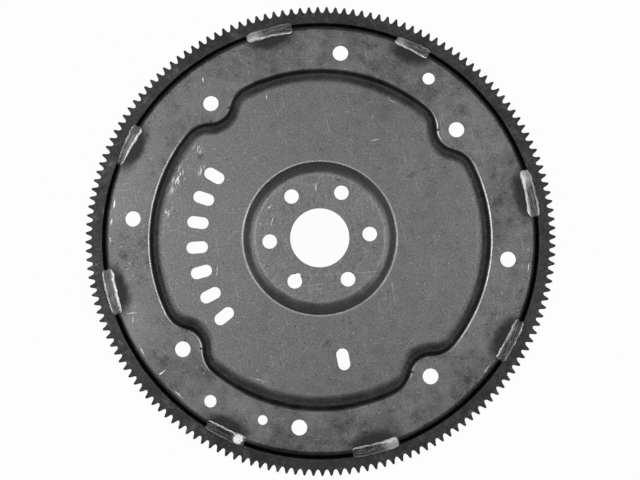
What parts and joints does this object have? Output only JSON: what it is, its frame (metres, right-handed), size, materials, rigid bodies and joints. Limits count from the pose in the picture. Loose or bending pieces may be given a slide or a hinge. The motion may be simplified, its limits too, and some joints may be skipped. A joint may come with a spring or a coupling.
{
  "type": "flexplate",
  "caption": "Pressed steel flexplate with a raised hub, lobed dish step, converter bolt ring, timing slots and a welded starter ring gear, joining a crankshaft to a torque converter.",
  "frame": {"origin": "crank axis at the rear face of the ring gear, on the surface that the plate lies on", "axes": "+Z along the crank axis, towards the engine; the indexing crank hole's even place is on -Y"},
  "size_m": [0.3618, 0.3618, 0.0295],
  "materials": {
    "plate_steel": "bare pressed sheet, mottled and scuffed",
    "gear_steel": "dark heat-treated",
    "weld_metal": "rippled as welded"
  },
  "bodies": {
    "root": {"plate": "plate_steel", "ring_gear": "gear_steel", "weld_bead_1": "weld_metal", "weld_bead_2": "weld_metal", "weld_bead_3": "weld_metal", "weld_bead_4": "weld_metal", "weld_bead_5": "weld_metal", "weld_bead_6": "weld_metal", "weld_bead_7": "weld_metal", "weld_bead_8": "weld_metal"}
  },
  "joints": []
}
